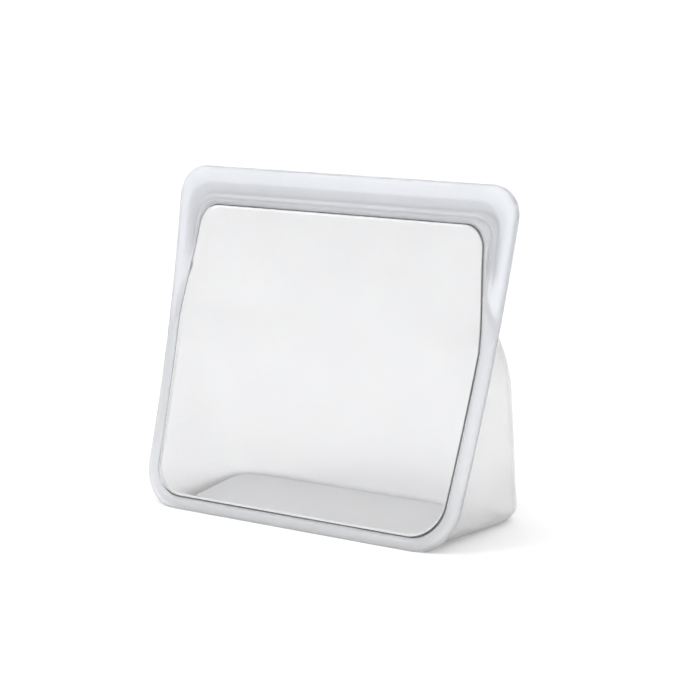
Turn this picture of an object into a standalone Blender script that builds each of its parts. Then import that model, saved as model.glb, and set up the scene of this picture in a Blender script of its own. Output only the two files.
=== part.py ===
"""Stand-up silicone food bag: a framed front window that leans back, a squared pouch that the bag
stands on, and a pinch zip along the top edge. The two upper flaps swing apart to open the mouth.

Dimensions are in millimetres, and MM turns them into Blender's metres.
x runs along the width, s up the front panel along its surface, and n from its face to the rear.
"""
import math

import bmesh
import bpy
from mathutils import Vector

MM = 0.001

# Driving dimensions
PANEL_HEIGHT = 176.2        # up the front panel
WIDTH_TOP = 199.2
WIDTH_BOTTOM = 181.1
LEAN_BOTTOM = math.radians(22.0)    # the panel's tilt from upright, at its foot
LEAN_TOP = math.radians(10.8)
POUCH_DEPTH = 83.7          # from the panel's foot to the rear of the base
EDGE_THICKNESS = 6.1        # front face to rear face, all round the frame
SHEET = 1.6                 # thickness of the soft walls
GAP = 0.3                   # clearance between neighbouring pieces
EASE = 0.9                  # how far the frame's edges are rounded off

# Frame and zip, measured inwards from the panel's outline
FRAME_WIDTH = 6.2
RADIUS_TOP = 15.5
RADIUS_BOTTOM = 22.0
LIP_SIDE = 5.0
LIP_TOP = 8.1
ZIP_SIDE = 12.8
ZIP_TOP = 17.3
TRACK_SIDE = 9.1            # centre line of the bead and its channel
TRACK_TOP = 12.8
BEAD_WIDTH = 2.0
RAIL_WIDTH = 1.3
RAIL_OFFSET = 2.1           # from the bead's centre line to the middle of a rail
FOLD = 134.0                # height s of the fold that both flaps swing about

# Levels n through the frame's thickness, from the front face
RIM_SPLIT = 2.2             # where the frame's two halves meet below the fold
LIP_SPLIT = EDGE_THICKNESS / 2      # where the two lips meet above it
BAND_FRONT = 0.3
BAND_REAR = 1.5
WINDOW_FRONT = 0.6
WINDOW_REAR = WINDOW_FRONT + SHEET
BEAD_TIP = 2.1
BEAD_SHOULDER = 2.7
RAIL_END = 4.0
REAR_BAND_FRONT = 4.6
REAR_BAND_REAR = 5.9
SKIN_FRONT = EDGE_THICKNESS - SHEET # front of the rear sheet where it lies against the frame

# Fused pads at the zip's ends
STOP_OUTER = 6.5            # from the panel's outline
STOP_INNER = 12.5
STOP_SHAPE = ((126.0, 2.0), (128.0, 0.4), (131.5, 0.0), (FOLD - GAP / 2, 0.0))  # height s, narrowing

# Pouch
SHOULDER = 88.0             # height s where the rear wall starts to run forward
ARCH_START = 100.0          # height s where the rear sheet's arch starts to draw in
ARCH_FULL = 138.0           # height s from which it runs just inside the zip's legs
ARCH_INSET = 15.5           # from the panel's outline to the arch beside the zip
ARCH_TOP = 157.5
ARCH_CORNER = 17.0
WALL_INSET = 1.4            # from the panel's outline to the pouch's side wall
SKIN_INSET = 0.6            # from the panel's outline to the rear sheet's edge
BACK_SLOPE = 0.185
BACK_TOP = (52.4, 149.7)    # depth and height where the rear sheet reaches the zip
TILTED_ABOVE = 60.0         # above this height s the pouch's slices stand square to the panel
FOOT_RADIUS_FRONT = 20.0
FOOT_RADIUS_REAR = 7.0
BOX_POWER = 11.0            # squareness of the pouch's plan at the base
SHOULDER_POWER = 5.8
ARCH_END_POWER = 2.1
ARCH_ROUND_ABOVE = 107.0    # height s from which the arch keeps its roundest plan
FOOT_TOP = 15.5             # height s of the rear foot's upper edge
THROAT = 108.0              # height s where the shoulder's middle narrows into the throat
POUCH_CENTRE = (0, 30, 45)  # a point inside the pouch, behind the panel's foot

ORIGIN_DEPTH = 41.4         # from the panel's foot back to the middle of the bag's outer box
ARC = PANEL_HEIGHT / (LEAN_BOTTOM - LEAN_TOP)
BACK_BEND = (POUCH_DEPTH - BACK_TOP[0] - BACK_SLOPE * BACK_TOP[1]) / BACK_TOP[1] ** 2

CLEAR = (0.90, 0.91, 0.93, 0.45)
FROSTED = (0.86, 0.88, 0.92, 0.80)


# ---- the front panel's surface ----

def lean(s):
    return LEAN_BOTTOM + (LEAN_TOP - LEAN_BOTTOM) * s / PANEL_HEIGHT


def face_depth(s):
    return ARC * (math.cos(lean(s)) - math.cos(LEAN_BOTTOM))


def face_height(s):
    return ARC * (math.sin(LEAN_BOTTOM) - math.sin(lean(s)))


def half_width(s):
    return (WIDTH_BOTTOM + (WIDTH_TOP - WIDTH_BOTTOM) * s / PANEL_HEIGHT) / 2


def slice_point(x, s, n, tilt):
    """A point n behind the panel's face, along a slice that tilts down by the angle tilt."""
    depth = face_depth(s) + n * math.cos(tilt)
    height = face_height(s) - n * math.sin(tilt)
    return Vector((x, depth - ORIGIN_DEPTH, max(height, 0.0))) * MM


def panel_point(x, s, n):
    return slice_point(x, s, n, lean(s))


# ---- outlines on the panel, as (x, s) from the left end round to the right end ----

def corner(x, s, radius, start, end, steps=8):
    for k in range(steps + 1):
        angle = math.radians(start + (end - start) * k / steps)
        yield x + radius * math.cos(angle), s + radius * math.sin(angle)


def mirrored(left):
    """The left half of an outline, followed by its mirror image."""
    return left + [(-x, s) for x, s in reversed(left)]


def lower_outline(inset):
    """Down the left side from the fold, along the bottom and up the right side."""
    radius = RADIUS_BOTTOM - inset
    top = FOLD - GAP / 2
    low = inset + radius
    side = half_width(low) - inset
    left = [(inset - half_width(top + (low - top) * k / 3), top + (low - top) * k / 3) for k in range(3)]
    left += list(corner(radius - side, low, radius, 180, 270))
    return mirrored(left)


def upper_outline(side_inset, top_inset):
    """Up the left side from the fold, along the top and down the right side."""
    radius = max(RADIUS_TOP - side_inset * 0.4, 2.0)
    bottom = FOLD + GAP / 2
    high = PANEL_HEIGHT - top_inset - radius
    side = half_width(high) - side_inset
    left = [(side_inset - half_width(bottom + (high - bottom) * k / 2), bottom + (high - bottom) * k / 2)
            for k in range(2)]
    left += list(corner(radius - side, high, radius, 180, 90))
    return mirrored(left)


def outline_half_width(outline, s):
    """Half the width of an outline at height s."""
    left = outline[:len(outline) // 2]
    for (x0, s0), (x1, s1) in zip(left, left[1:]):
        if min(s0, s1) <= s <= max(s0, s1) and s0 != s1:
            return abs(x0 + (x1 - x0) * (s - s0) / (s1 - s0))
    return abs(left[-1][0])


# ---- solids ----

def add_object(name, bm, material, parent=None):
    bmesh.ops.recalc_face_normals(bm, faces=bm.faces)
    if bm.calc_volume(signed=True) < 0:
        bmesh.ops.reverse_faces(bm, faces=bm.faces)
    origin = parent.location if parent else Vector()
    bmesh.ops.translate(bm, verts=bm.verts, vec=-origin)
    mesh = bpy.data.meshes.new(name)
    bm.to_mesh(mesh)
    bm.free()
    mesh.shade_smooth()
    mesh.set_sharp_from_angle(angle=math.radians(35))
    mesh.materials.append(material)
    obj = bpy.data.objects.new(name, mesh)
    obj.parent = parent
    bpy.context.collection.objects.link(obj)
    return obj


def make_material(name, colour, roughness):
    material = bpy.data.materials.new(name)
    material.use_nodes = True
    shader = material.node_tree.nodes["Principled BSDF"]
    shader.inputs["Base Color"].default_value = colour[:3] + (1.0,)
    shader.inputs["Alpha"].default_value = colour[3]
    shader.inputs["Roughness"].default_value = roughness
    shader.inputs["Metallic"].default_value = 0.0
    return material


def soft_clear(name):
    return make_material(name + "_clear", CLEAR, 0.2)


def soft_frosted(name):
    return make_material(name + "_frosted", FROSTED, 0.45)


def grid_faces(bm, rows):
    for low, high in zip(rows, rows[1:]):
        for k in range(len(low) - 1):
            bm.faces.new((low[k], low[k + 1], high[k + 1], high[k]))


def slab(name, outer, inner, material, parent=None):
    """The solid between two matching grids of points."""
    bm = bmesh.new()
    top = [[bm.verts.new(p) for p in row] for row in outer]
    under = [[bm.verts.new(p) for p in row] for row in inner]
    grid_faces(bm, top)
    grid_faces(bm, under)
    for a, b in ((top[0], under[0]), (top[-1], under[-1])):
        grid_faces(bm, [a, b])
    for edge in (0, -1):
        grid_faces(bm, [[row[edge] for row in top], [row[edge] for row in under]])
    return add_object(name, bm, material, parent)


def band(name, outer, inner, section, material, parent=None):
    """A strip that follows two matching outlines. A section point is (share from outer, n)."""
    bm = bmesh.new()
    rings = []
    for (x0, s0), (x1, s1) in zip(outer, inner):
        rings.append([bm.verts.new(panel_point(x0 + (x1 - x0) * f, s0 + (s1 - s0) * f, n))
                      for f, n in section])
    for a, b in zip(rings, rings[1:]):
        for k in range(len(section)):
            after = (k + 1) % len(section)
            bm.faces.new((a[k], a[after], b[after], b[k]))
    bm.faces.new(rings[0])
    bm.faces.new(rings[-1])
    return add_object(name, bm, material, parent)


def plain_section(front, rear):
    return [(0.0, front), (1.0, front), (1.0, rear), (0.0, rear)]


def front_half_section(width, rear):
    """A section whose two front corners are eased and whose rear face is flat."""
    share = EASE / width
    return [(0.0, rear), (0.0, EASE), (share * 0.3, EASE * 0.3), (share, 0.0),
            (1 - share, 0.0), (1.0, EASE), (1.0, rear)]


def rear_half_section(width, front):
    """The same section turned round: a flat front face, and rear corners eased."""
    share = EASE / width
    rear = EDGE_THICKNESS
    return [(0.0, front), (1.0, front), (1.0, rear - EASE), (1 - share, rear), (share, rear),
            (share * 0.3, rear - EASE * 0.3), (0.0, rear - EASE)]


def window(name, rows, parent=None):
    """A flat sheet in the panel, from rows of (s, half width)."""
    outer = [[panel_point(side * w, s, WINDOW_FRONT) for side in (-1, 1)] for s, w in rows]
    inner = [[panel_point(side * w, s, WINDOW_REAR) for side in (-1, 1)] for s, w in rows]
    return slab(name, outer, inner, soft_clear(name), parent)


# ---- the pouch's surface ----

def back_depth(height):
    return POUCH_DEPTH - BACK_SLOPE * height - BACK_BEND * height * height


def slice_tilt(s):
    return lean(s) * min(1.0, s / TILTED_ABOVE)


def slice_depth(s):
    """How far the rear wall is behind the panel at the middle of the slice that starts at s."""
    tilt = slice_tilt(s)
    depth = POUCH_DEPTH
    for _ in range(30):
        depth = (back_depth(face_height(s) - depth * math.sin(tilt)) - face_depth(s)) / math.cos(tilt)
    return max(depth, EDGE_THICKNESS)


def open_half_width(s):
    """Half the width over which the rear sheet stands off the panel: the arch."""
    rise = min(max((s - ARCH_START) / (ARCH_FULL - ARCH_START), 0.0), 1.0)
    drawn_in = rise * rise * (3 - 2 * rise)
    over = min(max(s - ARCH_TOP + ARCH_CORNER, 0.0), ARCH_CORNER)
    corner_inset = ARCH_CORNER - math.sqrt(ARCH_CORNER ** 2 - over ** 2)
    return half_width(s) - WALL_INSET - (ARCH_INSET - WALL_INSET) * drawn_in - corner_inset


def squareness(s):
    if s < SHOULDER:
        return BOX_POWER + (SHOULDER_POWER - BOX_POWER) * s / SHOULDER
    rise = min(1.0, (s - SHOULDER) / (ARCH_ROUND_ABOVE - SHOULDER))
    return SHOULDER_POWER + (ARCH_END_POWER - SHOULDER_POWER) * rise


def foot_inset(radius, height):
    if height >= radius:
        return 0.0
    return radius - math.sqrt(radius ** 2 - (radius - max(height, 0.0)) ** 2)


def pouch_point(s, t, start, extra=0.0):
    """The pouch's outer surface on slice s. t runs from 0 at the right edge to pi at the left."""
    tilt = slice_tilt(s)
    reach = open_half_width(s)
    depth = max(slice_depth(s), start + 0.01)
    power = 2 / squareness(s)
    x = math.copysign(reach * abs(math.cos(t)) ** power, math.cos(t))
    share = abs(math.sin(t)) ** power
    n = start + (depth - start) * share
    radius = FOOT_RADIUS_FRONT + (FOOT_RADIUS_REAR - FOOT_RADIUS_FRONT) * share
    inset = foot_inset(radius, face_height(s) - n * math.sin(tilt)) + extra
    return slice_point(x * (1 - inset / reach), s, n - inset * share ** 6, tilt)


def wall_start(s):
    """Where the side walls leave the frame's rear, along slice s."""
    return (SKIN_FRONT + GAP) / math.cos(lean(s) - slice_tilt(s))


def thickened(grid, thickness):
    """The grid moved inwards by the wall's thickness, along its own normals."""
    rows, columns = len(grid), len(grid[0])
    centre = (Vector(POUCH_CENTRE) - Vector((0, ORIGIN_DEPTH, 0))) * MM
    inner = []
    for i in range(rows):
        line = []
        for j in range(columns):
            across = grid[i][min(j + 1, columns - 1)] - grid[i][max(j - 1, 0)]
            upward = grid[min(i + 1, rows - 1)][j] - grid[max(i - 1, 0)][j]
            normal = across.cross(upward).normalized()
            if normal.dot(grid[i][j] - centre) < 0:
                normal = -normal
            line.append(grid[i][j] - normal * thickness * MM)
        inner.append(line)
    return inner


def arch_angles():
    """Angles across the arch, and the columns where it is cut into right, middle and left pieces."""
    split = 0.008
    cut = math.pi * 0.3
    right = [0.0, 0.16, 0.32, 0.5, 0.7, cut - split]
    middle = [cut + split, 1.1, 1.25, 1.4, math.pi / 2]
    half = right + middle
    angles = half + [math.pi - t for t in reversed(half[:-1])]
    first = len(right) + 1
    return angles, first, len(angles) + 2 - first


def arch_row(s, reach_out, angles):
    """Flat wing, arch and flat wing across the rear sheet, out to reach_out on each side."""
    arch = [pouch_point(s, t, EDGE_THICKNESS) for t in angles]
    right = panel_point(reach_out, s, EDGE_THICKNESS)
    left = panel_point(-reach_out, s, EDGE_THICKNESS)
    return [right] + arch + [left]


def sunk(row, s, thickness):
    """The row moved straight towards the panel's face."""
    step = Vector((0.0, math.cos(lean(s)), -math.sin(lean(s)))) * thickness * MM
    return [p - step for p in row]


def cut_out(name, grids, rows, columns, make_skin, parent=None):
    """One solid from the given rows and columns of an outer and an inner grid."""
    outer, inner = ([row[slice(*columns)] for row in grid[slice(*rows)]] for grid in grids)
    slab(name, outer, inner, make_skin(name), parent)


# ---- pieces ----

def make_frame():
    outer, inner = lower_outline(0.0), lower_outline(FRAME_WIDTH)
    band("front_rim", outer, inner, front_half_section(FRAME_WIDTH, RIM_SPLIT), soft_frosted("front_rim"))
    band("back_rim", outer, inner, plain_section(RIM_SPLIT + GAP, SKIN_FRONT - GAP), soft_frosted("back_rim"))


def make_lower_window():
    outline = lower_outline(FRAME_WIDTH + GAP)
    left = outline[:len(outline) // 2]
    window("front_window", [(s, abs(x)) for x, s in reversed(left)])


def make_zip_stops():
    """Fused pads between the two sheets that close the zip's ends."""
    for side, label in ((-1, "left"), (1, "right")):
        name = "zip_stop_" + label
        grids = []
        for n in (WINDOW_REAR + GAP, SKIN_FRONT - GAP):
            grids.append([[panel_point(side * (half_width(s) - inset), s, n)
                           for inset in (STOP_OUTER + trim, STOP_INNER - trim)] for s, trim in STOP_SHAPE])
        slab(name, grids[0], grids[1], soft_frosted(name))


def make_walls():
    """The two gussets, the rear wall and its rounded foot, cut from one surface."""
    split = 0.012
    middle = math.pi / 4
    fan = [0.0, 0.12, 0.3, 0.45, 0.6, middle - 4 * split, middle - split]
    back = [middle + split, middle + 4 * split, 0.95, 1.1, 1.25, 1.4, math.pi / 2]
    right = fan + back
    angles = right + [math.pi - t for t in reversed(right[:-1])]
    foot = [0.0, 0.5, 1.6, 3.6, 6.5, 10.5, FOOT_TOP - 4 * GAP, FOOT_TOP - GAP / 2]
    above = [FOOT_TOP + GAP / 2, FOOT_TOP + 4 * GAP, 21.0, 33.0, 47.0, 61.0, 75.0,
             SHOULDER - 4 * GAP, SHOULDER - GAP / 2]
    levels = foot + above
    outer = [[pouch_point(s, t, wall_start(s)) for t in angles] for s in levels]
    grids = outer, thickened(outer, SHEET)
    first, second = len(fan), len(angles) - len(fan)
    every_row = (0, len(levels))
    cut_out("gusset_right", grids, every_row, (0, first), soft_frosted)
    cut_out("back_foot", grids, (0, len(foot)), (first, second), soft_frosted)
    cut_out("back_wall", grids, (len(foot), len(levels)), (first, second), soft_frosted)
    cut_out("gusset_left", grids, every_row, (second, len(angles)), soft_frosted)


def make_base():
    """A flat base whose outline stays just inside the walls' foot."""
    count = 28
    outline = [pouch_point(0.0, math.pi * k / count, wall_start(0.0) + 1.0, 0.4) for k in range(count + 1)]
    bm = bmesh.new()
    face = bm.faces.new([bm.verts.new(p) for p in outline])
    grown = bmesh.ops.extrude_face_region(bm, geom=[face])
    verts = [g for g in grown["geom"] if isinstance(g, bmesh.types.BMVert)]
    bmesh.ops.translate(bm, verts=verts, vec=(0, 0, SHEET * MM))
    add_object("base_panel", bm, soft_frosted("base_panel"))


def make_shoulder():
    angles, first, second = arch_angles()
    lower = [SHOULDER + GAP / 2, SHOULDER + 4 * GAP, 91.0, 94.0, 97.0, 100.5, 104.0,
             THROAT - 4 * GAP, THROAT - GAP / 2]
    upper = [THROAT + GAP / 2, THROAT + 4 * GAP, 112.0, 117.0, 122.0, 128.0, FOLD - GAP / 2]
    levels = lower + upper
    outer = [arch_row(s, half_width(s) - SKIN_INSET, angles) for s in levels]
    grids = outer, thickened(outer, SHEET)
    every_row = (0, len(levels))
    cut_out("shoulder_right", grids, every_row, (0, first), soft_clear)
    cut_out("shoulder_middle", grids, (0, len(lower)), (first, second), soft_clear)
    cut_out("throat_middle", grids, (len(lower), len(levels)), (first, second), soft_clear)
    cut_out("shoulder_left", grids, every_row, (second, len(outer[0])), soft_clear)


def hinge(name, s, n):
    empty = bpy.data.objects.new(name, None)
    empty.location = panel_point(0.0, s, n)
    bpy.context.collection.objects.link(empty)
    return empty


def track(distance):
    """An outline along the zip, distance inwards of the bead's centre line."""
    return upper_outline(TRACK_SIDE + distance, TRACK_TOP + distance)


def make_front_flap(flap):
    edge, lip = upper_outline(0.0, 0.0), upper_outline(LIP_SIDE, LIP_TOP)
    band("front_lip", edge, lip, front_half_section(LIP_TOP, LIP_SPLIT - GAP / 2), soft_frosted("front_lip"),
         flap)
    band("front_zip_band", upper_outline(LIP_SIDE + GAP, LIP_TOP + GAP), upper_outline(ZIP_SIDE, ZIP_TOP),
         plain_section(BAND_FRONT, BAND_REAR), soft_frosted("front_zip_band"), flap)
    for name, middle in (("channel_rail_outer", -RAIL_OFFSET), ("channel_rail_inner", RAIL_OFFSET)):
        band(name, track(middle - RAIL_WIDTH / 2), track(middle + RAIL_WIDTH / 2),
             plain_section(BAND_REAR + GAP, RAIL_END), soft_frosted(name), flap)
    outline = upper_outline(ZIP_SIDE + GAP, ZIP_TOP + GAP)
    window("front_window_upper", [(s, abs(x)) for x, s in outline[:len(outline) // 2]], flap)


def make_back_flap(flap):
    edge, lip = upper_outline(0.0, 0.0), upper_outline(LIP_SIDE, LIP_TOP)
    band("back_lip", edge, lip, rear_half_section(LIP_TOP, LIP_SPLIT + GAP / 2), soft_frosted("back_lip"),
         flap)
    band("back_zip_band", upper_outline(LIP_SIDE + GAP, LIP_TOP + GAP), upper_outline(ZIP_SIDE, ZIP_TOP),
         plain_section(REAR_BAND_FRONT, REAR_BAND_REAR), soft_frosted("back_zip_band"), flap)
    root = REAR_BAND_FRONT - GAP
    band("zip_bead", track(-BEAD_WIDTH / 2), track(BEAD_WIDTH / 2),
         [(0.25, BEAD_TIP), (0.75, BEAD_TIP), (1.0, BEAD_SHOULDER), (1.0, root), (0.0, root),
          (0.0, BEAD_SHOULDER)], soft_frosted("zip_bead"), flap)
    outline = upper_outline(ZIP_SIDE + GAP, ZIP_TOP + GAP)
    angles, first, second = arch_angles()
    levels = [FOLD + GAP / 2, 138.0, 142.0, 146.0, 149.5, 152.5, 155.0, 157.0, outline[len(outline) // 2][1]]
    outer = [arch_row(s, outline_half_width(outline, s), angles) for s in levels]
    grids = outer, [sunk(row, s, SHEET) for row, s in zip(outer, levels)]
    every_row = (0, len(levels))
    cut_out("back_panel_right", grids, every_row, (0, first), soft_clear, flap)
    cut_out("back_panel_middle", grids, every_row, (first, second), soft_clear, flap)
    cut_out("back_panel_left", grids, every_row, (second, len(outer[0])), soft_clear, flap)


def clear_scene():
    for obj in list(bpy.data.objects):
        bpy.data.objects.remove(obj, do_unlink=True)


def main():
    clear_scene()
    make_frame()
    make_lower_window()
    make_zip_stops()
    make_walls()
    make_base()
    make_shoulder()
    make_front_flap(hinge("front_fold", FOLD, 0.0))
    make_back_flap(hinge("back_fold", FOLD, slice_depth(FOLD)))


main()
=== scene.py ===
"""Looks for the stand-up silicone bag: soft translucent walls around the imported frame.

Lengths are in millimetres and MM turns them into metres. x runs along the width, s up the front
panel along its surface, and n from its face to the rear.
"""
import math

import bmesh
import bpy
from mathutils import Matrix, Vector, noise

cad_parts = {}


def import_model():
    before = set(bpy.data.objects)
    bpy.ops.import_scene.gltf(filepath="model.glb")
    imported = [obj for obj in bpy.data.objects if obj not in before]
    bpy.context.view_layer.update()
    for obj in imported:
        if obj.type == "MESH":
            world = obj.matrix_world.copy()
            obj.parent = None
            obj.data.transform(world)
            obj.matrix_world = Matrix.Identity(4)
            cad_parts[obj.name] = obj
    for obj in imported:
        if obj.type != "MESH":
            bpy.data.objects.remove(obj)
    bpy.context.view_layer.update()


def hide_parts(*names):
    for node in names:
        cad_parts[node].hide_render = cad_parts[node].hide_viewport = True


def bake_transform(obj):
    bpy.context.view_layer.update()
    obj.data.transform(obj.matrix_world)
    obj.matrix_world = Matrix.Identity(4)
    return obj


MM = 0.001

# The panel's surface
PANEL_HEIGHT = 176.2
WIDTH_TOP = 199.2
WIDTH_BOTTOM = 181.1
LEAN_BOTTOM = math.radians(22.0)
LEAN_TOP = math.radians(10.8)
ARC = PANEL_HEIGHT / (LEAN_BOTTOM - LEAN_TOP)
ORIGIN_DEPTH = 41.4
EDGE_THICKNESS = 6.1
PARTING = EDGE_THICKNESS / 2
RADIUS_TOP = 15.5
RADIUS_BOTTOM = 22.0

# How an inset outline's corner radius shrinks, and its least value
FOOT_SHRINK = 0.85
TOP_SHRINK = 0.25
LEAST_RADIUS = 4.0
# Points along each stretch of half an outline
FOOT_STEPS = 14
FOOT_CORNER_STEPS = 12
SIDE_STEPS = 44
TOP_CORNER_STEPS = 14
TOP_STEPS = 14
SIDE_CROWDING = 0.09        # draws the side's points towards its two corners

# The zip's legs fade out down each side
LEG_END = 96.0              # the flange is as narrow as the frame below this height s
LEG_FULL = 152.0
RELIEF_END = 126.0          # the zip's ridges fade out between these
RELIEF_FULL = 137.0
LIP_TOP = 8.4               # from the top edge to the zip's band

# The pouch
POUCH_DEPTH = 83.7
SHOULDER = 88.0
ARCH_START = 100.0
ARCH_FULL = 138.0
ARCH_INSET = 15.5
ARCH_TOP = 157.5
ARCH_CORNER = 17.0
WALL_INSET = 1.4
BACK_SLOPE = 0.185
BACK_TOP = (52.4, 149.7)
BACK_BEND = (POUCH_DEPTH - BACK_TOP[0] - BACK_SLOPE * BACK_TOP[1]) / BACK_TOP[1] ** 2
TILTED_ABOVE = 60.0
FOOT_RADIUS_FRONT = 20.0
FOOT_RADIUS_REAR = 7.0
BOX_POWER = 11.0
SHOULDER_POWER = 5.8
ARCH_END_POWER = 2.1
ROUND = 107.0
FOOT_TAPER = 6              # how fast the foot's rounding fades from the rear to the front
REAR_SKIN = 5.6             # outer face of the rear sheet where it lies flat behind the window
WALL = 1.5
LOW_EDGE = 1.2              # inset of the rear sheet's edge down the pouch's sides
EDGE_LEAVES = (97.0, 112.0) # between these the edge moves in behind the frame
EDGE_CORNER = 12.5
BORDER_STARTS = (ARCH_START + 4, ARCH_START + 16)
INNER_EDGE = (6.5, 14.8, 19.3)      # the frame's inner edge: low, side and top
SHEET_GAP = 0.1             # between the frame's inner edge and the window's edge
SHEET_LAP = 0.8             # how far the rear sheet reaches into the frame
SHEET_EDGE = 1.5            # least width of the rear sheet's flat border beside the arch
SHEET_TOP = INNER_EDGE[2] - SHEET_LAP


# ---- the panel's surface ----

def lean(s):
    return LEAN_BOTTOM + (LEAN_TOP - LEAN_BOTTOM) * s / PANEL_HEIGHT


def face_depth(s):
    return ARC * (math.cos(lean(s)) - math.cos(LEAN_BOTTOM))


def face_height(s):
    return ARC * (math.sin(LEAN_BOTTOM) - math.sin(lean(s)))


def half_width(s):
    return (WIDTH_BOTTOM + (WIDTH_TOP - WIDTH_BOTTOM) * s / PANEL_HEIGHT) / 2


def slice_point(x, s, n, tilt):
    depth = face_depth(s) + n * math.cos(tilt)
    height = face_height(s) - n * math.sin(tilt)
    return Vector((x, depth - ORIGIN_DEPTH, max(height, 0.0))) * MM


def panel_point(x, s, n):
    return slice_point(x, s, n, lean(s))


def smooth(value, low, high):
    t = min(max((value - low) / (high - low), 0.0), 1.0)
    return t * t * (3 - 2 * t)


def mix(a, b, t):
    return a + (b - a) * t


def zip_share(s):
    """1 where the zip's flange has its full width, narrowing to 0 down the sides."""
    return mix((min(max(s, LEG_END), LEG_FULL) - LEG_END) / (LEG_FULL - LEG_END),
               smooth(s, LEG_END, LEG_FULL), 0.5)


def relief(s):
    """1 where the zip's ridges stand at their full height, 0 below the zip's ends."""
    return smooth(s, RELIEF_END, RELIEF_FULL)


# ---- closed outlines around the panel ----

def outline(low, side, top):
    """Points (x, s) all round the panel, inset by low at the foot, by side up the zip and by top."""
    foot_radius = max(RADIUS_BOTTOM - FOOT_SHRINK * low, LEAST_RADIUS)
    top_radius = max(RADIUS_TOP - TOP_SHRINK * top, LEAST_RADIUS)
    foot = low + foot_radius
    crown = PANEL_HEIGHT - top - top_radius

    def edge(s):
        return half_width(s) - mix(low, side, zip_share(s))

    half = [((edge(foot) - foot_radius) * k / FOOT_STEPS, low) for k in range(FOOT_STEPS)]
    for k in range(FOOT_CORNER_STEPS):
        angle = math.pi / 2 * k / FOOT_CORNER_STEPS
        s = foot - foot_radius * math.cos(angle)
        half.append((edge(s) - foot_radius * (1 - math.sin(angle)), s))
    for k in range(SIDE_STEPS):
        share = k / SIDE_STEPS
        s = mix(foot, crown, share + SIDE_CROWDING * math.sin(2 * math.pi * share))
        half.append((edge(s), s))
    for k in range(TOP_CORNER_STEPS):
        angle = math.pi / 2 * k / TOP_CORNER_STEPS
        s = crown + top_radius * math.sin(angle)
        half.append((edge(s) - top_radius * (1 - math.cos(angle)), s))
    high = PANEL_HEIGHT - top
    half += [((edge(high) - top_radius) * (1 - k / TOP_STEPS), high) for k in range(TOP_STEPS + 1)]
    return half + [(-x, s) for x, s in reversed(half[1:-1])]


def ring(station):
    """One loop of points. A station is (low, side, top, n at the foot, n along the zip)."""
    low, side, top, n_low, n_zip = station
    return [panel_point(x, s, mix(n_low, n_zip, relief(s))) for x, s in outline(low, side, top)]


# ---- mesh helpers ----

MERGE = 1e-6                # metres
SHELL_MERGE = 2e-5


def link_mesh(name, bm, materials):
    mesh = bpy.data.meshes.new(name)
    bm.to_mesh(mesh)
    bm.free()
    mesh.shade_smooth()
    for material in materials:
        mesh.materials.append(material)
    obj = bpy.data.objects.new(name, mesh)
    bpy.context.collection.objects.link(obj)
    return obj


def add_piece(name, bm, materials):
    """A closed piece, with its faces turned outward."""
    bmesh.ops.remove_doubles(bm, verts=bm.verts, dist=MERGE)
    bmesh.ops.recalc_face_normals(bm, faces=bm.faces)
    if bm.calc_volume(signed=True) < 0:
        bmesh.ops.reverse_faces(bm, faces=bm.faces)
    return link_mesh(name, bm, materials)


def join_loops(bm, loops, closed, material_of):
    """Skins a list of closed loops. material_of(k) is the slot for the strip after loop k."""
    rings = [[bm.verts.new(p) for p in loop] for loop in loops]
    count = len(rings[0])
    pairs = list(zip(rings, rings[1:])) + ([(rings[-1], rings[0])] if closed else [])
    for k, (a, b) in enumerate(pairs):
        for i in range(count):
            j = (i + 1) % count
            face = bm.faces.new((a[i], a[j], b[j], b[i]))
            face.material_index = material_of(k)
    return rings


def cap(bm, loop):
    centre = sum((v.co for v in loop), Vector()) / len(loop)
    middle = bm.verts.new(centre)
    for i, v in enumerate(loop):
        bm.faces.new((v, loop[(i + 1) % len(loop)], middle))


# ---- the frame: rim, pull lips and zip, as a front and a rear moulding ----

# (low, side, top, n at the foot, n along the zip), from the parting face round to the inner edge
FRONT_FACE = [
    (0.3, 0.35, 0.35, PARTING, PARTING),
    (0.0, 0.0, 0.0, PARTING, PARTING - 0.2),
    (0.0, 0.0, 0.0, 2.5, 2.5),
    (0.2, 0.2, 0.2, 1.55, 1.55),
    (0.7, 0.7, 0.7, 0.76, 0.76),
    (1.5, 1.5, 1.5, 0.2, 0.2),
    (2.5, 2.5, 2.5, 0.0, 0.0),
    (3.4, 3.8, 4.6, 0.0, 0.0),
    (4.2, 6.0, 7.2, 0.0, 0.0),
    (4.5, 6.7, 7.9, 0.0, 0.1),
    (4.7, 7.2, 8.4, 0.02, 0.34),
    (4.85, 7.6, 8.9, 0.05, 0.55),
    (4.95, 8.2, 9.7, 0.08, 0.66),
    (5.05, 9.2, 11.6, 0.12, 0.66),
    (5.15, 10.0, 13.3, 0.16, 0.66),
    (5.25, 10.35, 13.8, 0.2, 0.80),
    (5.35, 10.7, 14.3, 0.24, 0.80),
    (5.45, 11.05, 14.8, 0.28, 0.52),
    (5.55, 11.5, 15.5, 0.34, 0.46),
    (5.65, 11.9, 16.0, 0.4, 0.52),
    (5.75, 12.25, 16.5, 0.46, 0.86),
    (5.85, 12.6, 16.9, 0.53, 0.92),
    (5.95, 13.0, 17.4, 0.6, 0.66),
    (6.05, 13.4, 17.9, 0.68, 0.56),
    (6.2, 13.9, 18.4, 0.78, 0.62),
    (6.35, 14.4, 18.9, 0.88, 0.85),
    (6.5, 14.8, 19.3, 1.2, 1.2),
]
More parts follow.
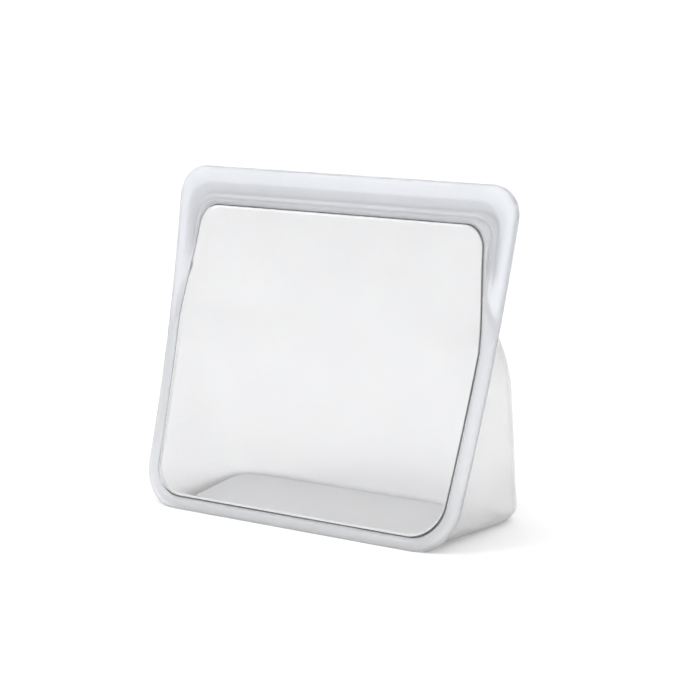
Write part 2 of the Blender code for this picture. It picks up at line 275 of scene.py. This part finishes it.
# The rear side of the front moulding: window seat, inner rail, channel floor, outer rail
CHANNEL = [
    (6.5, 14.8, 19.3, 1.7, 1.7),
    (6.3, 14.2, 18.7, 2.75, 2.7),
    (6.0, 13.0, 17.7, PARTING, 2.7),
    (5.9, 12.8, 17.4, PARTING, 3.9),
    (5.8, 12.5, 17.1, PARTING, 4.3),
    (5.7, 11.9, 16.5, PARTING, 4.3),
    (5.6, 11.6, 16.2, PARTING, 3.9),
    (5.5, 11.5, 16.1, PARTING, 2.3),
    (5.3, 10.0, 14.5, PARTING, 2.3),
    (5.2, 9.9, 14.4, PARTING, 3.9),
    (5.1, 9.6, 14.1, PARTING, 4.3),
    (5.0, 9.0, 13.5, PARTING, 4.3),
    (4.9, 8.7, 13.2, PARTING, 3.9),
    (4.8, 8.6, 13.1, PARTING, PARTING),
    (3.0, 4.5, 7.5, PARTING, PARTING),
]
# The front side of the rear moulding: lip, recess, bead, recess
BEAD = [
    (3.0, 4.5, 7.5, PARTING, PARTING),
    (4.7, 8.1, 12.6, PARTING, PARTING),
    (4.8, 8.2, 12.7, PARTING, 4.7),
    (5.0, 10.1, 14.6, PARTING, 4.7),
    (5.05, 10.2, 14.7, PARTING, 3.3),
    (5.1, 10.35, 14.85, PARTING, 2.8),
    (5.2, 10.6, 15.1, PARTING, 2.6),
    (5.3, 10.9, 15.4, PARTING, 2.6),
    (5.4, 11.15, 15.65, PARTING, 2.8),
    (5.45, 11.3, 15.8, PARTING, 3.3),
    (5.5, 11.4, 15.9, PARTING, 4.7),
    (5.9, 12.95, 17.5, PARTING, 4.7),
    (5.95, 13.05, 17.6, PARTING, 3.0),
    (6.2, 13.9, 18.4, 3.1, 3.0),
    (6.35, 14.4, 18.9, 3.6, 3.6),
]


def rear_face():
    """The front face's section seen from behind, from the inner edge out to the parting face."""
    stations = []
    for low, side, top, n_low, n_zip in reversed(FRONT_FACE):
        stations.append((low, side, top, EDGE_THICKNESS - n_low, EDGE_THICKNESS - n_zip))
    return stations


def make_moulding(name, stations, materials):
    """The second material is for what is within the zip's band, inside the lips."""
    bm = bmesh.new()
    within = [(a[2] + b[2]) / 2 > LIP_TOP for a, b in zip(stations, stations[1:] + stations[:1])]
    join_loops(bm, [ring(station) for station in stations], True, lambda k: int(within[k]))
    return add_piece(name, bm, materials)


# ---- the front window ----

WINDOW_CENTRE = 84.0
WINDOW_FRONT = 1.05
WINDOW_STEPS = 22
WINDOW_CROWDING = 1.15      # draws the loops towards the window's edge
BOW = -0.7                  # how far the middle stands off, negative towards the front
BOW_WAVE = 1.1
WAVE_ACROSS = 0.016         # waves per mm
WAVE_UP = 0.02
WAVE_SEED = 1.7


def window_bow(x, s):
    """How far the clear panel stands off its flat, from the way soft silicone relaxes."""
    u = x / half_width(s)
    v = (s - WINDOW_CENTRE) / (PANEL_HEIGHT / 2)
    fade = max(0.0, 1 - abs(u) ** 3) * max(0.0, 1 - abs(v) ** 3)
    wave = noise.noise(Vector((x * WAVE_ACROSS, s * WAVE_UP, WAVE_SEED)))
    return fade * (BOW + BOW_WAVE * wave)


def window_loops(depth):
    edge = outline(*[inset + SHEET_GAP for inset in INNER_EDGE])
    loops = []
    for k in range(WINDOW_STEPS):
        f = 1 - (k / WINDOW_STEPS) ** WINDOW_CROWDING
        loop = []
        for x, s in edge:
            px, ps = x * f, WINDOW_CENTRE + (s - WINDOW_CENTRE) * f
            loop.append(panel_point(px, ps, depth + window_bow(px, ps)))
        loops.append(loop)
    return loops


def make_window(materials):
    """The second material is for the sheet's edge, where it is fused to the frosted frame."""
    bm = bmesh.new()
    front = window_loops(WINDOW_FRONT)
    rear = window_loops(WINDOW_FRONT + WALL)
    rings = join_loops(bm, list(reversed(rear)) + front, False, lambda k: int(k == len(rear) - 1))
    cap(bm, rings[0])
    cap(bm, rings[-1])
    return add_piece("front_window_sheet", bm, materials)


# ---- the pouch ----

def back_depth(height):
    return POUCH_DEPTH - BACK_SLOPE * height - BACK_BEND * height * height


def slice_tilt(s):
    return lean(s) * min(1.0, s / TILTED_ABOVE)


PROFILE_SAMPLES = 500
LEAST_DEPTH = 0.01
FIRST_DEPTH = 60.0
DEPTH_ROUNDS = 30


def slice_depth(s):
    """Where the slice meets the rear wall, found by stepping to it from FIRST_DEPTH."""
    tilt = slice_tilt(s)
    depth = FIRST_DEPTH
    for _ in range(DEPTH_ROUNDS):
        depth = (back_depth(face_height(s) - depth * math.sin(tilt)) - face_depth(s)) / math.cos(tilt)
    return max(depth, REAR_SKIN)


def open_half_width(s):
    drawn_in = smooth(s, ARCH_START, ARCH_FULL)
    over = min(max(s - ARCH_TOP + ARCH_CORNER, 0.0), ARCH_CORNER)
    corner_inset = ARCH_CORNER - math.sqrt(ARCH_CORNER ** 2 - over ** 2)
    border = mix(INNER_EDGE[0], INNER_EDGE[1], zip_share(s)) - SHEET_LAP + SHEET_EDGE
    return half_width(s) - min(mix(WALL_INSET, ARCH_INSET, drawn_in), border) - corner_inset


def squareness(s):
    if s < SHOULDER:
        return mix(BOX_POWER, SHOULDER_POWER, s / SHOULDER)
    return mix(SHOULDER_POWER, ARCH_END_POWER, min(1.0, (s - SHOULDER) / (ROUND - SHOULDER)))


def foot_inset(radius, height):
    if height >= radius:
        return 0.0
    return radius - math.sqrt(radius ** 2 - (radius - max(height, 0.0)) ** 2)


def slice_profile(s):
    """Fine points (x, n) along one slice of the pouch, from its right side round to its left."""
    reach = open_half_width(s)
    start = REAR_SKIN / math.cos(lean(s) - slice_tilt(s))
    depth = max(slice_depth(s), start + LEAST_DEPTH)
    power = 2 / squareness(s)
    points = []
    for k in range(PROFILE_SAMPLES + 1):
        t = math.pi * k / PROFILE_SAMPLES
        x = math.copysign(reach * abs(math.cos(t)) ** power, math.cos(t))
        points.append((x, start + (depth - start) * abs(math.sin(t)) ** power))
    return points, start, depth, reach


def wing_inset(s):
    """Where the rear sheet ends inside the frame: near the outline low down, inside the zip above."""
    low = mix(LOW_EDGE, INNER_EDGE[0] - SHEET_LAP, smooth(s, *EDGE_LEAVES))
    inset = mix(low, INNER_EDGE[1] - SHEET_LAP, zip_share(s))
    crown = PANEL_HEIGHT - SHEET_TOP
    if s > crown - EDGE_CORNER:
        lift = min(s - (crown - EDGE_CORNER), EDGE_CORNER)
        inset += EDGE_CORNER - math.sqrt(max(EDGE_CORNER ** 2 - lift ** 2, 0.0))
    return inset


def resample(points, count):
    lengths = [0.0]
    for a, b in zip(points, points[1:]):
        lengths.append(lengths[-1] + math.dist(a, b))
    out = []
    k = 0
    for i in range(count):
        target = lengths[-1] * i / (count - 1)
        while k < len(points) - 2 and lengths[k + 1] < target:
            k += 1
        span = lengths[k + 1] - lengths[k]
        f = (target - lengths[k]) / span if span > 0 else 0.0
        out.append((mix(points[k][0], points[k + 1][0], f), mix(points[k][1], points[k + 1][1], f)))
    return out


BORDER_COLUMNS = 2          # across the flat border beside the arch
ARCH_COLUMNS = 157
COLUMNS = ARCH_COLUMNS + 2 * BORDER_COLUMNS
BASE_STEPS = 14
BASE_EDGE = 0.25            # how far the base's underside is clear of the floor
BASE_MIDDLE = 0.8
FIRST_LEVELS = [0.0, 0.12, 0.4, 0.9, 1.6, 2.5, 3.6, 5.0, 6.6, 8.5, 10.7, 13.2, 16.0, 19.0, 22.5]
LEVEL_STEP = 2.2
SOFTEN_FROM = 16            # the first level that is relaxed
SOFTEN_PASSES = 6
SOFTEN_SHARE = 0.6


def pouch_row(s):
    points, start, depth, reach = slice_profile(s)
    tilt = slice_tilt(s)
    least = SHEET_EDGE * smooth(s, *BORDER_STARTS)
    wing = max(half_width(s) - wing_inset(s), reach + least)
    border = [(mix(wing, reach, k / BORDER_COLUMNS), start) for k in range(BORDER_COLUMNS)]
    across = border + resample(points, ARCH_COLUMNS) + [(-x, n) for x, n in reversed(border)]
    row = []
    for x, n in across:
        share = (n - start) / (depth - start)
        radius = mix(FOOT_RADIUS_FRONT, FOOT_RADIUS_REAR, share)
        inset = foot_inset(radius, face_height(s) - n * math.sin(tilt))
        row.append(slice_point(x * (1 - inset / reach), s, n - inset * share ** FOOT_TAPER, tilt))
    return row


def base_rows(foot):
    """Rows across the base, from the foot's outline forward to the rim's lower edge."""
    front = REAR_SKIN - ORIGIN_DEPTH
    width = abs(foot[0].x) / MM
    rows = []
    for j in range(BASE_STEPS, 0, -1):
        share = j / BASE_STEPS
        row = []
        for k, p in enumerate(foot):
            goal = Vector((width * (1 - 2 * k / (len(foot) - 1)), front, 0.0)) * MM
            point = p.lerp(goal, share)
            rise = math.sin(math.pi * share) * math.sin(math.pi * k / (len(foot) - 1))
            point.z = mix(BASE_EDGE, BASE_MIDDLE, rise) * MM
            row.append(point)
        rows.append(row)
    return rows


def pouch_levels():
    levels = list(FIRST_LEVELS)
    while levels[-1] < PANEL_HEIGHT - SHEET_TOP - LEVEL_STEP:
        levels.append(levels[-1] + LEVEL_STEP)
    return levels + [PANEL_HEIGHT - SHEET_TOP]


def soften(grid):
    """Relaxes the arch's crease so the wall bends as soft silicone does."""
    for _ in range(SOFTEN_PASSES):
        previous = [list(row) for row in grid]
        for i in range(SOFTEN_FROM, len(grid) - 1):
            for j in range(2, COLUMNS - 2):
                around = previous[i - 1][j] + previous[i + 1][j] + previous[i][j - 1] + previous[i][j + 1]
                grid[i][j] = previous[i][j].lerp(around / 4, SOFTEN_SHARE)


def make_pouch(materials):
    """One sheet from the base up to the zip. The second material is for the base."""
    walls = [pouch_row(s) for s in pouch_levels()]
    soften(walls)
    grid = base_rows(walls[0]) + walls
    bm = bmesh.new()
    rows = [[bm.verts.new(p) for p in row] for row in grid]
    for j, (low, high) in enumerate(zip(rows, rows[1:])):
        for k in range(COLUMNS - 1):
            face = bm.faces.new((low[k], low[k + 1], high[k + 1], high[k]))
            face.material_index = int(j < BASE_STEPS)
    bmesh.ops.remove_doubles(bm, verts=bm.verts, dist=SHELL_MERGE)
    obj = link_mesh("pouch_shell", bm, materials)
    wall = obj.modifiers.new("wall", "SOLIDIFY")
    wall.thickness = WALL * MM
    wall.offset = -1.0
    wall.use_even_offset = False
    return obj


# ---- materials ----

SILICONE_IOR = 1.41
TINT_SCALE = 28.0
ROUGH_SCALE = 60.0
ROUGH_SPREAD = 0.15
GRAIN_SCALE = 900.0
GRAIN_DEPTH = 0.0002        # metres
NOISE_RANGE = (0.3, 0.7)    # the noise's usual lowest and highest value


def noise_value(tree, scale, detail, low, high):
    """A smooth noise over the object's own coordinates, mapped to low..high."""
    nodes, links = tree.nodes, tree.links
    place = nodes.new("ShaderNodeTexCoord")
    texture = nodes.new("ShaderNodeTexNoise")
    texture.inputs["Scale"].default_value = scale
    texture.inputs["Detail"].default_value = detail
    links.new(place.outputs["Object"], texture.inputs["Vector"])
    spread = nodes.new("ShaderNodeMapRange")
    spread.inputs["From Min"].default_value = NOISE_RANGE[0]
    spread.inputs["From Max"].default_value = NOISE_RANGE[1]
    spread.inputs["To Min"].default_value = low
    spread.inputs["To Max"].default_value = high
    links.new(texture.outputs["Fac"], spread.inputs["Value"])
    return spread.outputs["Result"]


def height_share(tree, low, high):
    """0 below the height low and 1 above high, both in metres, over the object's own coordinates."""
    nodes, links = tree.nodes, tree.links
    place = nodes.new("ShaderNodeTexCoord")
    axes = nodes.new("ShaderNodeSeparateXYZ")
    links.new(place.outputs["Object"], axes.inputs["Vector"])
    spread = nodes.new("ShaderNodeMapRange")
    spread.interpolation_type = "SMOOTHSTEP"
    spread.inputs["From Min"].default_value = low
    spread.inputs["From Max"].default_value = high
    links.new(axes.outputs["Z"], spread.inputs["Value"])
    return spread.outputs["Result"]


def silicone(name, colour, shade, clearness, roughness, grain, foot=None):
    """Translucent silicone. clearness is the share of light that passes instead of scattering.

    foot, if given, is (colour, low, high): the colour below the height low, gone above high. On the rim
    this is painted light, a lighter colour low down that stands in for light on the lower rim; on the zip
    it is the zip's tone giving way to the rim's.
    """
    material = bpy.data.materials.new(name)
    material.use_nodes = True
    tree = material.node_tree
    shader = tree.nodes["Principled BSDF"]
    shader.inputs["IOR"].default_value = SILICONE_IOR
    shader.inputs["Transmission Weight"].default_value = clearness
    tint = tree.nodes.new("ShaderNodeMix")
    tint.data_type = "RGBA"
    tint.inputs["A"].default_value = colour + (1.0,)
    tint.inputs["B"].default_value = shade + (1.0,)
    tree.links.new(noise_value(tree, TINT_SCALE, 2.0, 0.0, 1.0), tint.inputs["Factor"])
    result = tint.outputs["Result"]
    # The colour towards the bottom: painted light on the rim, the zip's tone meeting the rim's on the zip.
    if foot:
        fade = tree.nodes.new("ShaderNodeMix")
        fade.data_type = "RGBA"
        fade.inputs["A"].default_value = foot[0] + (1.0,)
        tree.links.new(result, fade.inputs["B"])
        tree.links.new(height_share(tree, foot[1], foot[2]), fade.inputs["Factor"])
        result = fade.outputs["Result"]
    tree.links.new(result, shader.inputs["Base Color"])
    rough = noise_value(tree, ROUGH_SCALE, 3.0, roughness * (1 - ROUGH_SPREAD),
                        roughness * (1 + ROUGH_SPREAD))
    tree.links.new(rough, shader.inputs["Roughness"])
    bump = tree.nodes.new("ShaderNodeBump")
    bump.inputs["Strength"].default_value = grain
    bump.inputs["Distance"].default_value = GRAIN_DEPTH
    tree.links.new(noise_value(tree, GRAIN_SCALE, 2.0, 0.0, 1.0), bump.inputs["Height"])
    tree.links.new(bump.outputs["Normal"], shader.inputs["Normal"])
    return material


def make_materials():
    return {
        # The rim, also used on the window's edge, carries painted light: its colour is lighter towards the
        # foot (below 0.02 m, gone above 0.13 m) to stand in for light on the lower rim.
        "rim": silicone("rim_silicone", (0.925, 0.937, 0.962), (0.912, 0.925, 0.952), 0.76, 0.34, 0.05,
                        ((0.97, 0.975, 0.985), 0.02, 0.13)),
        "zip": silicone("zip_silicone", (0.835, 0.843, 0.865), (0.82, 0.828, 0.852), 0.76, 0.34, 0.05,
                        ((0.93, 0.94, 0.962), 0.112, 0.134)),
        "window": silicone("window_silicone", (0.925, 0.926, 0.93), (0.917, 0.919, 0.924), 0.96, 0.05, 0.0),
        "pouch": silicone("pouch_silicone", (0.94, 0.94, 0.946), (0.925, 0.925, 0.934), 0.86, 0.22, 0.03),
        "base": silicone("base_silicone", (0.95, 0.95, 0.953), (0.94, 0.94, 0.945), 0.0, 0.5, 0.0),
    }


# ---- the stage ----

CAMERA_TARGET = Vector((11.405, 40.0 - ORIGIN_DEPTH, 83.588)) * MM
CAMERA_AZIMUTH = math.radians(33.359)
CAMERA_ELEVATION = math.radians(10.776)
CAMERA_DISTANCE = 0.99597
CAMERA_LENS = 104.24
FLOOR_SIZE = 60.0
FLOOR_WHITE = 0.95
WORLD_STRENGTH = 1.08


def make_camera():
    azimuth, elevation = CAMERA_AZIMUTH, CAMERA_ELEVATION
    direction = Vector((math.sin(azimuth) * math.cos(elevation), -math.cos(azimuth) * math.cos(elevation),
                        math.sin(elevation)))
    data = bpy.data.cameras.new("camera")
    data.lens = CAMERA_LENS
    data.sensor_width = 36.0
    data.clip_start = 0.01
    data.clip_end = 200.0
    camera = bpy.data.objects.new("camera", data)
    camera.location = CAMERA_TARGET + direction * CAMERA_DISTANCE
    camera.rotation_euler = (-direction).to_track_quat("-Z", "Y").to_euler()
    bpy.context.collection.objects.link(camera)
    bpy.context.scene.camera = camera


def area_light(name, location, aim, size, power):
    data = bpy.data.lights.new(name, "AREA")
    data.size = size
    data.energy = power
    light = bpy.data.objects.new(name, data)
    light.location = location
    light.rotation_euler = (Vector(aim) - Vector(location)).to_track_quat("-Z", "Y").to_euler()
    bpy.context.collection.objects.link(light)


def make_stage():
    bm = bmesh.new()
    bmesh.ops.create_grid(bm, x_segments=1, y_segments=1, size=FLOOR_SIZE)
    mesh = bpy.data.meshes.new("floor")
    bm.to_mesh(mesh)
    bm.free()
    floor = bpy.data.objects.new("floor", mesh)
    bpy.context.collection.objects.link(floor)
    material = bpy.data.materials.new("floor_white")
    material.use_nodes = True
    shader = material.node_tree.nodes["Principled BSDF"]
    shader.inputs["Base Color"].default_value = (FLOOR_WHITE, FLOOR_WHITE, FLOOR_WHITE, 1)
    shader.inputs["Roughness"].default_value = 0.9
    shader.inputs["Specular IOR Level"].default_value = 0.0
    mesh.materials.append(material)
    world = bpy.data.worlds.new("world")
    world.use_nodes = True
    background = world.node_tree.nodes["Background"]
    background.inputs["Color"].default_value = (1.0, 1.0, 1.0, 1)
    background.inputs["Strength"].default_value = WORLD_STRENGTH
    bpy.context.scene.world = world
    area_light("key_softbox", (-0.8, -0.6, 1.1), (0, 0, 0.05), 0.9, 7.0)
    area_light("fill_softbox", (0.8, -0.9, 0.7), (0, 0, 0.08), 0.9, 3.5)
    bpy.context.scene.view_settings.view_transform = "Standard"
    bpy.context.scene.view_settings.look = "None"


def main():
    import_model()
    make_camera()
    make_stage()
    materials = make_materials()
    frame_finish = [materials["rim"], materials["zip"]]

    front = make_moulding("front_frame", FRONT_FACE + CHANNEL, frame_finish)
    rear = make_moulding("rear_frame", BEAD + rear_face(), frame_finish)
    window = make_window([materials["window"], materials["rim"]])
    pouch = make_pouch([materials["pouch"], materials["base"]])

    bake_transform(front)
    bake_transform(window)
    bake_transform(rear)
    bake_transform(pouch)

    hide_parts("front_rim", "front_lip", "front_zip_band", "channel_rail_outer",
                "channel_rail_inner")
    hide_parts("back_rim", "back_lip", "back_zip_band", "zip_bead", "zip_stop_left",
                "zip_stop_right")
    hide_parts("front_window", "front_window_upper")
    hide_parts("gusset_left", "gusset_right", "back_wall", "back_foot", "base_panel",
                "shoulder_right", "shoulder_middle", "throat_middle", "shoulder_left",
                "back_panel_right", "back_panel_middle", "back_panel_left")


main()
